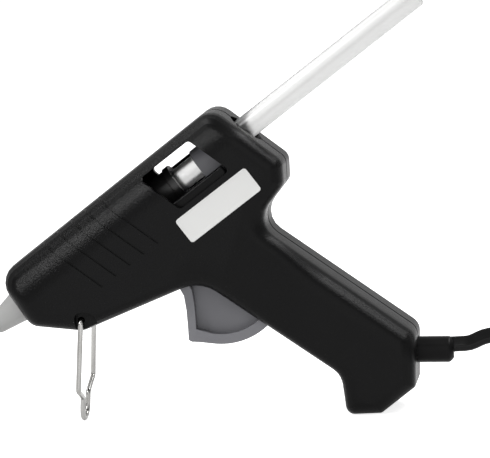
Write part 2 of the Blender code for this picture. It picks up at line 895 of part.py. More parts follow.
def nozzle_and_cover():
    """The brass tip screwed into the chamber, and the soft cover over it."""
    tip = nose_x - nozzle_reach
    seat = chamber_front - seat_gap
    hex_end = seat - 2 * wall
    turned(
        "nozzle",
        ((tip, nozzle_orifice), (tip, nozzle_tip_radius), (tip + wall, nozzle_tip_radius * 1.35),
         (hex_end, nozzle_hex_radius), (hex_end, nozzle_flange_radius), (seat, nozzle_flange_radius),
         (seat, chamber_throat), (hex_end, chamber_throat)),
        brass, round_sides, closed=True,
    )
    root = nose_x + cover_inside - seat_gap
    end = nose_x - cover_length + cover_inside
    inner_root = nozzle_flange_radius + seat_gap
    bore_mouth = end + cover_wall
    tip_bore = nozzle_tip_radius * 1.35 + (nozzle_hex_radius - nozzle_tip_radius * 1.35) * (
        (end - tip - wall) / (hex_end - tip - wall)
    ) + seat_gap
    shoulder = hex_end - seat_gap
    turned(
        "nozzle_cover",
        ((end, tip_bore), (end, cover_tip_radius), (end + cover_wall, cover_tip_radius + cover_wall / 3),
         (nose_x, cover_root_radius), (root, cover_root_radius), (root, inner_root),
         (shoulder, inner_root), (shoulder, nozzle_hex_radius + seat_gap)),
        pale_silicone, round_sides, closed=True,
    )
    return bore_mouth


def rounded_path(points, radii, steps=4):
    """A path in space whose inner corners are arcs of the given radii."""
    path = [points[0]]
    for before, here, after, radius in zip(points, points[1:], points[2:], radii):
        to_before = (before - here).normalized()
        to_after = (after - here).normalized()
        half = to_before.angle(to_after) / 2
        reach = radius / math.tan(half)
        centre = here + (to_before + to_after).normalized() * (radius / math.sin(half))
        start = here + to_before * reach - centre
        end = here + to_after * reach - centre
        swing = start.rotation_difference(end)
        for k in range(steps + 1):
            path.append(centre + Matrix.Rotation(swing.angle * k / steps, 3, swing.axis) @ start)
    path.append(points[-1])
    return path


def stand():
    """The bent wire that props the nose: two eyes, two legs, a narrow foot."""
    drop = standing_height(stand_pivot) - stand_wire_radius
    origin = Vector((stand_pivot.x, 0, stand_pivot.y))
    foot_shift = stand_lean

    def hang(down, across):
        share = down / drop
        point = stand_pivot - upward * down - level * (foot_shift * share)
        return Vector((point.x, across, point.y))

    inner = stand_leg_y - stand_wire_radius - stand_bite + seat_gap
    right = [
        hang(0, inner), hang(0, stand_leg_y), hang(stand_kink_drop, stand_leg_y + stand_splay),
        hang(stand_kink_drop + stand_kink_length, stand_foot_half_width),
        hang(drop, stand_foot_half_width),
    ]
    left = [Vector((p.x, -p.y, p.z)) for p in reversed(right)]
    bends = [stand_bend, stand_bend, stand_bend, stand_foot_bend]
    path = rounded_path(right + left, bends + bends[::-1])
    return tube("stand", path, stand_wire_radius, steel, 2, origin)


def strain_relief():
    """The moulded bush that carries the cord out of the heel."""
    inner = -wall - seat_gap
    return turned(
        "strain_relief",
        ((inner - bush_flange_length, 0), (inner - bush_flange_length, bush_flange_radius),
         (inner, bush_flange_radius), (inner, bush_radius), (bush_length - bush_round, bush_radius),
         (bush_length, bush_radius - bush_round), (bush_length, 0)),
        vinyl, round_sides, turn=bush_frame(),
    )


def smooth_curve(route, spacing):
    """Points along a smooth curve through a route of hand-chosen points."""
    dense = []
    stops = [2 * route[0] - route[1]] + route + [2 * route[-1] - route[-2]]
    for a, b, c, d in zip(stops, stops[1:], stops[2:], stops[3:]):
        for k in range(20):
            t = k / 20
            dense.append(0.5 * (
                2 * b + (c - a) * t + (2 * a - 5 * b + 4 * c - d) * t ** 2
                + (3 * b - a - 3 * c + d) * t ** 3
            ))
    dense.append(route[-1])
    lengths = [0.0]
    for p, q in zip(dense, dense[1:]):
        lengths.append(lengths[-1] + (q - p).length)
    count = max(2, round(lengths[-1] / spacing))
    points, k = [], 0
    for n in range(count + 1):
        wanted = lengths[-1] * n / count
        while k < len(lengths) - 2 and lengths[k + 1] < wanted:
            k += 1
        share = (wanted - lengths[k]) / (lengths[k + 1] - lengths[k])
        points.append(dense[k].lerp(dense[k + 1], share))
    return points


def path_length(points):
    return sum((q - p).length for p, q in zip(points, points[1:]))


def leads():
    """Two insulated wires from the contact plates, past the trigger, down to the bush."""
    place = bush_frame() @ Vector((-wall - bush_flange_length - 2 * seat_gap, 0, 0))
    inward = bush_frame() @ Vector((-wall - bush_flange_length - 4 * lead_diameter, 0, 0))
    for name, side, plate in (("live_lead", -1, "lower_electrode"), ("neutral_lead", 1, "upper_electrode")):
        height = electrode_heights[plate]
        half = heater_case_half_width - heater_case_wall
        start = Vector((case_rear + electrode_tab + seat_gap, side * half * 0.6, height))
        tail = side * lead_diameter
        route = [
            start,
            start + Vector((lead_diameter, side * lead_diameter / 4, -lead_diameter / 2)),
            Vector((sleeve_front - lead_diameter, side * half, -heater_case_depth - lead_diameter)),
            Vector((
                shelf_front - lead_diameter, side * (half + 2 * lead_diameter),
                shelf_low - lead_diameter,
            )),
            Vector((pivot.x, side * (slot_half_width + lead_diameter), shelf_low - 2 * lead_diameter)),
        ]
        for share in lead_shares:
            route.append(Vector((
                share[0] * body_length, side * share[2] * body_half_width, share[1] * body_depth
            )))
        route.append(Vector((inward.x, tail, inward.z)))
        route.append(Vector((place.x, tail, place.z)))
        tube(name, smooth_curve(route, 2.4 * lead_diameter), lead_diameter / 2, vinyl, 1)


lead_shares = (
    (-0.290, -0.215, 0.72), (-0.215, -0.330, 0.72), (-0.215, -0.520, 0.62), (-0.130, -0.720, 0.30),
)


def to_table(point):
    """A point of the barrel frame, as it stands on the table."""
    return standing @ point


def cord_exit():
    """The point where the cord leaves the bush, on the table frame."""
    return to_table(bush_frame() @ Vector((bush_length + seat_gap, 0, 0))) + Vector((0, 0, cord_rise))


# Route of the cord past its exit, as chosen by eye: forward, across, height over the table
cord_route = (
    (0.0100, 0.0000, 0.0202), (0.0200, -0.0008, 0.0207), (0.0300, -0.0035, 0.0183),
    (0.0390, -0.0074, 0.0141), (0.0480, -0.0116, 0.0092), (0.0570, -0.0153, 0.0052),
    (0.0650, -0.0178, 0.0030), (0.0720, -0.0189, 0.0024),
)

# The hank, a near run, fold, far run and fold at a time: the ring and the layer where each
# starts and ends. Ring 1 is the outer one, and layer 0 lies on the table.
hank_passes = (
    (1, 1, 0, 0), (1, 1, 0, 0), (1, 1, 0, 0), (1, 0, 0, 0),
    (0, 0, 0, 0), (0, 0, 0, 0), (0, 0, 0, 1), (0, 0, 1, 1),
    (0, 0, 1, 1), (0, 1, 1, 1), (1, 1, 1, 1), (1, 1, 1, 1),
    (1, 1, 1, 2), (1, 1, 2, 2), (1, 0, 2, 2), (0, 0, 2, 2),
    (0, 0, 2, 2), (0, 0, 2, 3), (0, 1, 3, 3),
)
hank_layers = 3
fold_points = 9
run_points = 3


def hank_place(stage, share, ring):
    """A point of the hank in plan: stage 0 and 2 are the runs, 1 and 3 the folds."""
    start = cord_exit().x + hank_forward
    turn = math.pi * share
    if stage == 0:
        return start + hank_run * share, -ring
    if stage == 1:
        return start + hank_run + ring * math.sin(turn), -ring * math.cos(turn)
    if stage == 2:
        return start + hank_run * (1 - share), ring
    return start - ring * math.sin(turn), ring * math.cos(turn)


def eased(share):
    return share * share * (3 - 2 * share)


def hank_height(layer):
    return cord_diameter / 2 + hank_pitch * layer


def plug_height():
    """The plug lies on the top layer of the hank."""
    return hank_height(hank_layers - 1) + cord_diameter / 2 + seat_gap + plug_half_height


def hank_points():
    """Centre line of the hank, wound from the table upwards, and off to the plug."""
    points = []
    for n, (ring_a, ring_b, layer_a, layer_b) in enumerate(hank_passes):
        stage = n % 4
        steps = fold_points if stage % 2 else run_points
        for k in range(steps):
            share = k / steps
            ring = hank_fold_radius + hank_pitch * (ring_a + (ring_b - ring_a) * eased(share))
            layer = layer_a + (layer_b - layer_a) * eased(share)
            x, y = hank_place(stage, share, ring)
            points.append(Vector((x, y, hank_height(layer))))
    climb = plug_height() - hank_height(hank_layers)
    for k in range(fold_points + 1):
        share = k / fold_points
        x, y = hank_place(3, share, hank_fold_radius)
        height = hank_height(hank_layers) + climb * eased(share)
        points.append(Vector((x, y + hank_pitch, height)))
    points.append(points[-1] + Vector((hank_tail, 0, 0)))
    return points


def cord_parts():
    """The free cord, the hank, the tie round it, and the plug at its end."""
    exit_point = cord_exit()
    straight = exit_point + Vector((cord_diameter, 0, 0))
    turns = hank_points()
    ahead = (turns[1] - turns[0]).normalized()
    join = turns[0] - ahead * seat_gap
    route = [straight]
    for forward, across, height in cord_route:
        route.append(Vector((exit_point.x + forward, across, height)))
    route.append(join - ahead * cord_diameter)
    free = [exit_point] + smooth_curve(route, 2 * cord_diameter) + [join]
    tube("cord", free, cord_diameter / 2, vinyl, 2)
    tube("cord_coil", turns, cord_diameter / 2, vinyl, 1)
    gap = least_gap(turns, cord_diameter)
    print("free cord length", round(path_length(free), 4), "hank", round(path_length(turns), 4))
    print("least gap of the hank to itself, in mm", round(gap * 1000, 3))
    plug(turns)
    tie()


def least_gap(points, diameter):
    """Smallest space between stretches of a tube that are a half turn or more apart."""
    least = math.inf
    apart = loop_points // 2
    for i, p in enumerate(points):
        for q in points[i + apart:]:
            least = min(least, (p - q).length - diameter)
    return least


neck_round_share = 0.9


def plug(turns):
    """A flat two-pin mains plug lying on the hank."""
    ahead = (turns[-1] - turns[-2])
    ahead.z = 0
    ahead.normalize()
    heading = math.atan2(ahead.y, ahead.x)
    start = turns[-1] + ahead * seat_gap
    turn = Matrix.Rotation(heading, 4, "Z")
    turn.translation = start
    sections = []
    span = plug_length + plug_neck_length
    for along, widened in plug_station_shares:
        half_w = plug_neck_radius + (plug_half_width - plug_neck_radius) * widened
        half_h = plug_neck_radius + (plug_half_height - plug_neck_radius) * widened
        rounding = min(plug_round, half_h * neck_round_share)
        corners = [
            (Vector((half_w, half_h)), rounding),
            (Vector((-half_w, half_h)), rounding),
            (Vector((-half_w, -half_h)), rounding),
            (Vector((half_w, -half_h)), rounding),
        ]
        outline = rounded(corners, 4)
        sections.append([turn @ Vector((span * along, p.x, p.y)) for p in outline])
    loft("plug_body", sections, vinyl)
    for n, side in enumerate((-1, 1)):
        base = turn @ Vector((span + seat_gap, side * plug_pin_spacing / 2, 0))
        pin_turn = turn.copy()
        pin_turn.translation = base
        turned(
            f"plug_pin_{n + 1}",
            ((0, 0), (0, plug_pin_radius), (plug_pin_sleeve, plug_pin_radius),
             (plug_pin_sleeve, plug_pin_metal_radius),
             (plug_pin_length - plug_pin_nose, plug_pin_metal_radius),
             (plug_pin_length, plug_pin_metal_radius - plug_pin_nose), (plug_pin_length, 0)),
            brass, small_sides, turn=pin_turn,
        )


def tie():
    """A strap round the far runs of the hank."""
    radius = cord_diameter / 2
    top = hank_height(hank_layers) + radius + running_gap
    low_y = hank_fold_radius - radius - running_gap
    high_y = hank_fold_radius + hank_pitch + radius + running_gap
    thick = tie_thickness
    middle = cord_exit().x + hank_forward + hank_run / 2
    ring = [
        (Vector((low_y - thick, top + thick)), 2 * thick),
        (Vector((high_y + thick, top + thick)), 2 * thick),
        (Vector((high_y + thick, 0)), thick),
        (Vector((high_y, 0)), 0.1 * thick),
        (Vector((high_y, top)), thick),
        (Vector((low_y, top)), thick),
        (Vector((low_y, 0)), 0.1 * thick),
        (Vector((low_y - thick, 0)), thick),
    ]
    outline = rounded(ring, 3)
    sections = []
    for along in (-tie_width / 2, tie_width / 2):
        sections.append([Vector((middle + along, p.x, p.y)) for p in outline])
    loft("coil_tie", sections, black)


# The gun is laid out along its barrel first
clear_scene()
moved_x = 0.0
left_end = Vector((nose_x - nozzle_reach, nozzle_tip_radius))
right_end = bush_frame() @ Vector((bush_length, 0, 0))
far_left = left_end.dot(level)
far_right = Vector((right_end.x, right_end.z)).dot(level)
standing = Matrix.Rotation(-standing_tilt, 4, "Y")
standing.translation = Vector((-(far_left + far_right) / 2, 0, -toe_rear.dot(upward)))

for side in (-1, 1):
    housing(side)
housing_screws()
trigger_piece()
trigger_pin()
carriage()
return_spring()
glue_stick()
feed_sleeve()
sleeve_clamp()
melt_chamber()
heater_stack()
nozzle_and_cover()
stand()
strain_relief()
leads()

# Then it is leant nose down on its stand, and the cord is laid on the table
frame = bpy.data.objects.new("barrel_frame", None)
bpy.context.scene.collection.objects.link(frame)
for thing in list(bpy.data.objects):
    if thing is not frame:
        thing.parent = frame
frame.matrix_world = standing
cord_parts()

for label, place in (
    ("trigger pivot", Vector((pivot.x, 0, pivot.y))),
    ("stand pivot", Vector((stand_pivot.x, 0, stand_pivot.y))),
    ("cord exit", standing.inverted() @ cord_exit()),
    ("carriage front", Vector((carriage_front, 0, 0))),
    ("toe", Vector((toe_rear.x, 0, toe_rear.y))),
    ("stick end", Vector((stick_reach, 0, 0))),
):
    print(label, [round(v, 5) for v in standing @ place])
print("feed stroke", round(feed_stroke, 6), "ratio", round(feed_stroke / trigger_throw, 6))
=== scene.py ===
import json
import math

import bmesh
import bpy
from mathutils import Matrix, Vector


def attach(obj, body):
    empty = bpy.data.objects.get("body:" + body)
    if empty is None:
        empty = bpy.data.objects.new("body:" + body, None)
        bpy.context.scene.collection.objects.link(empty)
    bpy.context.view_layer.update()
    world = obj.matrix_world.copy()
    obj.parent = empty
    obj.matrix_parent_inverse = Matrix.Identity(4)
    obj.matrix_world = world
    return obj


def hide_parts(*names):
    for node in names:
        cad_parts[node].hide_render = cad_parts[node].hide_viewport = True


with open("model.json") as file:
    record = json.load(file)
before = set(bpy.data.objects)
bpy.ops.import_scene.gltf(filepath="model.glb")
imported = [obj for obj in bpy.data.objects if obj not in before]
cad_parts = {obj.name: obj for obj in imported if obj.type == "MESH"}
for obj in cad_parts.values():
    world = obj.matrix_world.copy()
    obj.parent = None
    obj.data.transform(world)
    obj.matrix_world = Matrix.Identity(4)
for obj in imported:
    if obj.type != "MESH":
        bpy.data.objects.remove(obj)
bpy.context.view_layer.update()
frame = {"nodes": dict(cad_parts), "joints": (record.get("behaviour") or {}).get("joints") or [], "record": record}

nodes = frame["nodes"]
slotOf = {part["node"]: part["material_slot"] for part in frame["record"]["subparts"]}

# Lengths are in metres and angles in degrees throughout. The focal length is in pixels of an
# image of imageWidth, and the sensor in millimetres.
camera = {
    "azimuth": 7.65,
    "elevation": 8.0,
    "roll": -3.88,
    "distance": 1.0,
    "lookAt": (0.01083, 0.0, 0.05560),
    "focal": 3364.5,
    "imageWidth": 490,
    "sensor": 36.0,
    "nearest": 0.05,
    "farthest": 20.0,
}


def aimCamera(view):
    around, up, roll = (math.radians(view[k]) for k in ("azimuth", "elevation", "roll"))
    back = Vector((
        math.sin(around) * math.cos(up), -math.cos(around) * math.cos(up), math.sin(up),
    ))
    level = Vector((math.cos(around), math.sin(around), 0))
    over = back.cross(level)
    right = math.cos(roll) * level + math.sin(roll) * over
    above = math.cos(roll) * over - math.sin(roll) * level
    data = bpy.data.cameras.new("photoCamera")
    data.sensor_width = view["sensor"]
    data.lens = view["focal"] / view["imageWidth"] * view["sensor"]
    data.clip_start = view["nearest"]
    data.clip_end = view["farthest"]
    eye = bpy.data.objects.new("photoCamera", data)
    bpy.context.scene.collection.objects.link(eye)
    place = Matrix((right, above, back)).transposed().to_4x4()
    place.translation = Vector(view["lookAt"]) + back * view["distance"]
    eye.matrix_world = place
    bpy.context.scene.camera = eye


aimCamera(camera)
print("camera aimed")

# the mains cord, a flat twin lead: tilted at the bush and on edge in its hank
cord = {
    "exit": (0.07112, 0.0, 0.01816),
    "width": 0.0048,
    "thickness": 0.0031,
    "straight": (0.0046, 0, 0.0002),
    # x from the exit on, then y and z
    "route": (
        (0.0100, 0.0000, 0.0202), (0.0200, -0.0008, 0.0207), (0.0300, -0.0035, 0.0183),
        (0.0390, -0.0074, 0.0141), (0.0480, -0.0116, 0.0092), (0.0570, -0.0153, 0.0052),
        (0.0650, -0.0178, 0.0030), (0.0720, -0.0189, 0.0024),
    ),
    "hankForward": 0.0790,
    "hankRun": 0.0500,
    "foldRadius": 0.0138,
    "pitch": 0.0052,
    "restingHeight": 0.0024,
    # for each run or fold: the ring it starts and ends in, then the layer, from the table up
    "passes": (
        (1, 1, 0, 0), (1, 1, 0, 0), (1, 1, 0, 0), (1, 0, 0, 0),
        (0, 0, 0, 0), (0, 0, 0, 0), (0, 0, 0, 1), (0, 0, 1, 1),
        (0, 0, 1, 1), (0, 1, 1, 1), (1, 1, 1, 1), (1, 1, 1, 1),
        (1, 1, 1, 2), (1, 1, 2, 2), (1, 0, 2, 2), (0, 0, 2, 2),
        (0, 0, 2, 2), (0, 0, 2, 3), (0, 1, 3, 3),
    ),
    "foldSteps": 28,
    "runSteps": 12,
    "plugHeight": 0.0225,
    "tail": 0.0046,
    "turnedAtBush": -54.0,
    "turnedInHank": -90.0,
    "onEdgeFrom": 0.060,
    "hiddenInBush": 0.0015,
    "step": 0.0015,
    "curveSteps": 24,
    "around": 28,
    "waist": 0.30,
    "waistSharpness": 3,
}
hankLegs = ("out", "farFold", "back", "nearFold")


def throughPoints(stops, sizes):
    # a Catmull-Rom curve through the stops, cut into even steps
    ends = [2 * stops[0] - stops[1]] + stops + [2 * stops[-1] - stops[-2]]
    dense = []
    for a, b, c, d in zip(ends, ends[1:], ends[2:], ends[3:]):
        for k in range(sizes["curveSteps"]):
            t = k / sizes["curveSteps"]
            dense.append(0.5 * (2 * b + (c - a) * t + (2 * a - 5 * b + 4 * c - d) * t ** 2
                                + (3 * b - a - 3 * c + d) * t ** 3))
    dense.append(stops[-1])
    gone = [0.0]
    for p, q in zip(dense, dense[1:]):
        gone.append(gone[-1] + (q - p).length)
    count = round(gone[-1] / sizes["step"])
    points, k = [], 0
    for n in range(count + 1):
        wanted = gone[-1] * n / count
        while k < len(gone) - 2 and gone[k + 1] < wanted:
            k += 1
        share = (wanted - gone[k]) / (gone[k + 1] - gone[k])
        points.append(dense[k].lerp(dense[k + 1], share))
    return points


def eased(share):
    return share * share * (3 - 2 * share)


def hankPoint(sizes, leg, share, ring, height):
    begin = sizes["exit"][0] + sizes["hankForward"]
    turn = math.pi * share
    if leg == "out":
        return Vector((begin + sizes["hankRun"] * share, -ring, height))
    if leg == "farFold":
        x = begin + sizes["hankRun"] + ring * math.sin(turn)
        return Vector((x, -ring * math.cos(turn), height))
    if leg == "back":
        return Vector((begin + sizes["hankRun"] * (1 - share), ring, height))
    return Vector((begin - ring * math.sin(turn), ring * math.cos(turn), height))


def hankPoints(sizes):
    points = []
    for n, (ringA, ringB, layerA, layerB) in enumerate(sizes["passes"]):
        leg = hankLegs[n % len(hankLegs)]
        steps = sizes["foldSteps"] if leg.endswith("Fold") else sizes["runSteps"]
        for k in range(steps):
            ease = eased(k / steps)
            ring = sizes["foldRadius"] + sizes["pitch"] * (ringA + (ringB - ringA) * ease)
            layer = layerA + (layerB - layerA) * ease
            height = sizes["restingHeight"] + sizes["pitch"] * layer
            points.append(hankPoint(sizes, leg, k / steps, ring, height))
    # one more fold, shifted sideways by one pitch, brings the end to the plug
    top = points[-1].z
    for k in range(sizes["foldSteps"] + 1):
        share = k / sizes["foldSteps"]
        height = top + (sizes["plugHeight"] - top) * eased(share)
        points.append(hankPoint(sizes, "nearFold", share, sizes["foldRadius"], height))
        points[-1].y += sizes["pitch"]
    points.append(points[-1] + Vector((sizes["tail"], 0, 0)))
    return points


def cordPath(sizes):
    start = Vector(sizes["exit"])
    stops = [start, start + Vector(sizes["straight"])]
    stops += [Vector((start.x + x, y, z)) for x, y, z in sizes["route"]]
    hank = hankPoints(sizes)
    return throughPoints(stops + hank[:1], sizes)[:-1] + hank


def sweepCord(name, path, sizes):
    # a flat section, pinched at its middle, that turns on edge along the way
    flat, thin = sizes["width"] / 2, sizes["thickness"] / 2
    outline = []
    for k in range(sizes["around"]):
        turn = math.tau * k / sizes["around"]
        wide = math.copysign(flat - thin, math.cos(turn)) + thin * math.cos(turn)
        pinch = 1 - sizes["waist"] * math.exp(-(sizes["waistSharpness"] * wide / flat) ** 2)
        outline.append((wide, thin * math.sin(turn) * pinch))
    turnedMore = sizes["turnedInHank"] - sizes["turnedAtBush"]
    bm = bmesh.new()
    rings, gone = [], 0.0
    for i, point in enumerate(path):
        if i:
            gone += (point - path[i - 1]).length
        ahead = (path[min(i + 1, len(path) - 1)] - path[max(i - 1, 0)]).normalized()
        side = ahead.cross(Vector((0, 0, 1))).normalized()
        over = side.cross(ahead)
        turned = eased(min(gone / sizes["onEdgeFrom"], 1.0))
        lean = math.radians(sizes["turnedAtBush"] + turnedMore * turned)
        wide = math.cos(lean) * side + math.sin(lean) * over
        deep = math.cos(lean) * over - math.sin(lean) * side
        rings.append([bm.verts.new(point + wide * u + deep * v) for u, v in outline])
    for near, far in zip(rings, rings[1:]):
        for k in range(len(near)):
            m = (k + 1) % len(near)
            bm.faces.new((near[k], near[m], far[m], far[k]))
    bm.faces.new(rings[0][::-1])
    bm.faces.new(rings[-1])
    bmesh.ops.recalc_face_normals(bm, faces=bm.faces)
    mesh = bpy.data.meshes.new(name)
    bm.to_mesh(mesh)
    bm.free()
    piece = bpy.data.objects.new(name, mesh)
    bpy.context.scene.collection.objects.link(piece)
    for face in mesh.polygons:
        face.use_smooth = len(face.vertices) == 4
    return piece


cordLine = cordPath(cord)
intoBush = cordLine[0] - Vector((cord["hiddenInBush"], 0, 0))
mainsCord = sweepCord("mainsCord", [intoBush] + cordLine, cord)
cordLength = sum((q - p).length for p, q in zip(cordLine, cordLine[1:]))
print("cord laid,", round(cordLength, 3), "m")


class Value:
    # one number that varies over a surface; arithmetic on it adds Math nodes
    def __init__(self, paint, socket):
        self.paint = paint
        self.socket = socket

    def maths(self, operation, first, second):
        return self.paint.add("ShaderNodeMath", {"operation": operation}, {0: first, 1: second})

    def __add__(self, other):
        return self.maths("ADD", self, other)

    def __radd__(self, other):
        return self.maths("ADD", other, self)

    def __sub__(self, other):
        return self.maths("SUBTRACT", self, other)

    def __rsub__(self, other):
        return self.maths("SUBTRACT", other, self)

    def __mul__(self, other):
        return self.maths("MULTIPLY", self, other)

    def __rmul__(self, other):
        return self.maths("MULTIPLY", other, self)

    def below(self, limit):
        return self.maths("LESS_THAN", self, limit)

    def swing(self, amount):
        # a pattern from 0 to 1, laid evenly round zero
        return (self - 0.5) * amount


class Paint:
    def __init__(self, name):
        self.material = bpy.data.materials.new(name)
        self.material.use_nodes = True
        self.tree = self.material.node_tree
        self.shader = self.tree.nodes["Principled BSDF"]
        self.where = self.add("ShaderNodeTexCoord", {}, {}, "Object")

    def join(self, value, socket):
        if isinstance(value, Value):
            self.tree.links.new(value.socket, socket)
        elif hasattr(value, "__len__") and len(value) == 3 and len(socket.default_value) == 4:
            socket.default_value = (*value, 1.0)
        else:
            socket.default_value = value

    def add(self, kind, settings, inputs, output=0):
        node = self.tree.nodes.new(kind)
        for key, value in settings.items():
            if key == "stops":
                for stop, (place, level) in zip(node.color_ramp.elements, value):
                    stop.position = place
                    stop.color = (level, level, level, 1.0)
            else:
                setattr(node, key, value)
        for key, value in inputs.items():
            self.join(value, node.inputs[key])
        return Value(self, node.outputs[output])

    def noise(self, scale, detail=2.0, roughness=0.5, vector=None):
        inputs = {"Vector": vector or self.where, "Scale": scale}
        inputs.update({"Detail": detail, "Roughness": roughness})
        return self.add("ShaderNodeTexNoise", {}, inputs)

    def along(self, direction):
        dot = {"operation": "DOT_PRODUCT"}
        return self.add("ShaderNodeVectorMath", dot, {0: self.where, 1: direction}, "Value")

    def ramp(self, value, low, high):
        return self.add("ShaderNodeValToRGB", {"stops": ((low, 0.0), (high, 1.0))}, {"Fac": value})

    def mix(self, factor, first, second):
        # sockets 6 and 7 and output 2 are the Mix node's colours
        settings = {"data_type": "RGBA"}
        return self.add("ShaderNodeMix", settings, {0: factor, 6: first, 7: second}, 2)

    def bump(self, height, strength, distance, normal=None):
        inputs = {"Height": height, "Strength": strength, "Distance": distance}
        if normal:
            inputs["Normal"] = normal
        return self.add("ShaderNodeBump", {}, inputs)

    def finish(self, sockets):
        for name, value in sockets.items():
            self.join(value, self.shader.inputs[name])
        return self.material


# A pattern is a noise's scale, detail and roughness. Its reach is the band that a blend runs
# over, and its swing is how far it moves the finish's own roughness.
moulded = {
    "grainDetail": 3.0,
    "grainRoughness": 0.6,
    "grainSwing": 0.06,
    "grainStrength": 0.55,
    "cloud": (55.0, 2.0, 0.5),
    "cloudReach": (0.35, 0.75),
    "cloudSwing": 0.10,
    "edgeReach": (0.50, 0.56),
    "edgeShine": 0.08,
    "edgeWear": 0.35,
    "seamDulling": 0.9,
}


def shoulderBump(paint, shoulder, normal):
    # Tilts the shading towards up, ever more over the last depth below top, as a larger round
    # on that edge would. The mesh keeps its own round. Within fades it in along run. Height is
    # in metres, so strength and distance stay 1.
    limits = {
        "Value": paint.along(shoulder["up"]),
        "From Min": shoulder["top"] - shoulder["depth"],
        "From Max": shoulder["top"],
    }
    share = paint.add("ShaderNodeMapRange", {}, limits)
    fall = shoulder["depth"] * shoulder["slope"] / 2
    height = share * share * -fall
    if shoulder["within"]:
        start, full = shoulder["within"]
        inside = {"Value": paint.along(shoulder["run"]), "From Min": start, "From Max": full}
        ease = {"interpolation_type": "SMOOTHSTEP"}
        height = height * paint.add("ShaderNodeMapRange", ease, inside)
    return paint.bump(height, 1.0, 1.0, normal)


def mouldedPlastic(name, plastic):
    # spark-eroded mould grain, faint flow marks and a little rubbing on the edges; seam is the
    # half width of the dull line where the two halves meet
    paint = Paint(name)
    grain = paint.noise(plastic["grainSize"], moulded["grainDetail"], moulded["grainRoughness"])
    cloud = paint.noise(*moulded["cloud"])
    pointed = paint.add("ShaderNodeNewGeometry", {}, {}, "Pointiness")
    edges = paint.ramp(pointed, *moulded["edgeReach"])
    patches = paint.ramp(cloud, *moulded["cloudReach"])
    colour = paint.mix(patches, plastic["dark"], plastic["light"])
    roughness = (
        plastic["roughness"] + cloud.swing(moulded["cloudSwing"])
        - edges * moulded["edgeShine"] + grain.swing(moulded["grainSwing"])
    )
    if plastic["seam"]:
        across = paint.add("ShaderNodeSeparateXYZ", {}, {"Vector": paint.where}, "Y")
        offCentre = paint.add("ShaderNodeMath", {"operation": "ABSOLUTE"}, {0: across})
        joint = offCentre.below(plastic["seam"])
        roughness = roughness + joint * moulded["seamDulling"]
        edges = edges * (1 - joint)
    normal = None
    for shoulder in plastic["shoulders"]:
        normal = shoulderBump(paint, shoulder, normal)
    return paint.finish({
        "Base Color": paint.mix(edges * moulded["edgeWear"], colour, plastic["worn"]),
        "Specular IOR Level": plastic["shine"],
        "Roughness": roughness,
        "Normal": paint.bump(grain, moulded["grainStrength"], plastic["grainDepth"], normal),
    })


silicone = {
    "dust": (420.0, 4.0, 0.65),
    "dustSwing": 0.16,
    "dustStrength": 0.30,
    "dustDepth": 0.00004,
    "cloud": (70.0, 2.0, 0.5),
    "cloudReach": (0.30, 0.75),
}


def softSilicone(name, dark, light, roughness):
    paint = Paint(name)
    dust = paint.noise(*silicone["dust"])
    cloud = paint.noise(*silicone["cloud"])
    return paint.finish({
        "Base Color": paint.mix(paint.ramp(cloud, *silicone["cloudReach"]), dark, light),
        "Roughness": roughness + dust.swing(silicone["dustSwing"]),
        "Normal": paint.bump(dust, silicone["dustStrength"], silicone["dustDepth"]),
    })


glue = {
    "dark": (0.56, 0.56, 0.555),
    "light": (0.60, 0.60, 0.595),
    "roughness": 0.32,
    "transmission": 0.97,
    "shine": 0.20,
    "refraction": 1.48,
    "coat": 0.08,
    "coatRoughness": 0.12,
    "stretch": (0.08, 1.0, 1.0),
    "streak": (500.0, 2.0, 0.5),
    "streakSwing": 0.14,
    "streakStrength": 0.25,
    "streakDepth": 0.00005,
    "cloud": (90.0, 2.0, 0.5),
}


def glueStickFinish(name, tilt):
    # milky thermoplastic, clear enough to glow, with streaks drawn lengthways
    paint = Paint(name)
    turned = {"Vector": paint.where, "Rotation": (0, tilt, 0)}
    lengthways = paint.add("ShaderNodeMapping", {}, turned)
    stretched = {"Vector": lengthways, "Scale": glue["stretch"]}
    streak = paint.noise(*glue["streak"], paint.add("ShaderNodeMapping", {}, stretched))
    cloud = paint.noise(*glue["cloud"])
    return paint.finish({
        "Transmission Weight": glue["transmission"],
        "Specular IOR Level": glue["shine"],
        "IOR": glue["refraction"],
        "Coat Weight": glue["coat"],
        "Coat Roughness": glue["coatRoughness"],
        "Base Color": paint.mix(cloud, glue["dark"], glue["light"]),
        "Roughness": glue["roughness"] + streak.swing(glue["streakSwing"]),
        "Normal": paint.bump(streak, glue["streakStrength"], glue["streakDepth"]),
    })


metal = {
    "scratchDetail": 5.0,
    "scratchRoughness": 0.7,
    "scratchSwing": 0.18,
    "scratchStrength": 0.20,
    "scratchDepth": 0.00003,
    "cloud": (140.0, 2.0, 0.5),
    "cloudReach": (0.3, 0.7),
}


def drawnMetal(name, dark, light, roughness, scale):
    paint = Paint(name)
    scratch = paint.noise(scale, metal["scratchDetail"], metal["scratchRoughness"])
    cloud = paint.noise(*metal["cloud"])
    return paint.finish({
        "Base Color": paint.mix(paint.ramp(cloud, *metal["cloudReach"]), dark, light),
        "Roughness": roughness + scratch.swing(metal["scratchSwing"]),
        "Metallic": 1.0,
        "Normal": paint.bump(scratch, metal["scratchStrength"], metal["scratchDepth"]),
    })


vinylSurface = {
    "ripple": (180.0, 2.0, 0.5),
    "rippleSwing": 0.10,
    "rippleStrength": 0.25,
    "fine": (900.0, 3.0, 0.5),
    "fineSwing": 0.05,
}


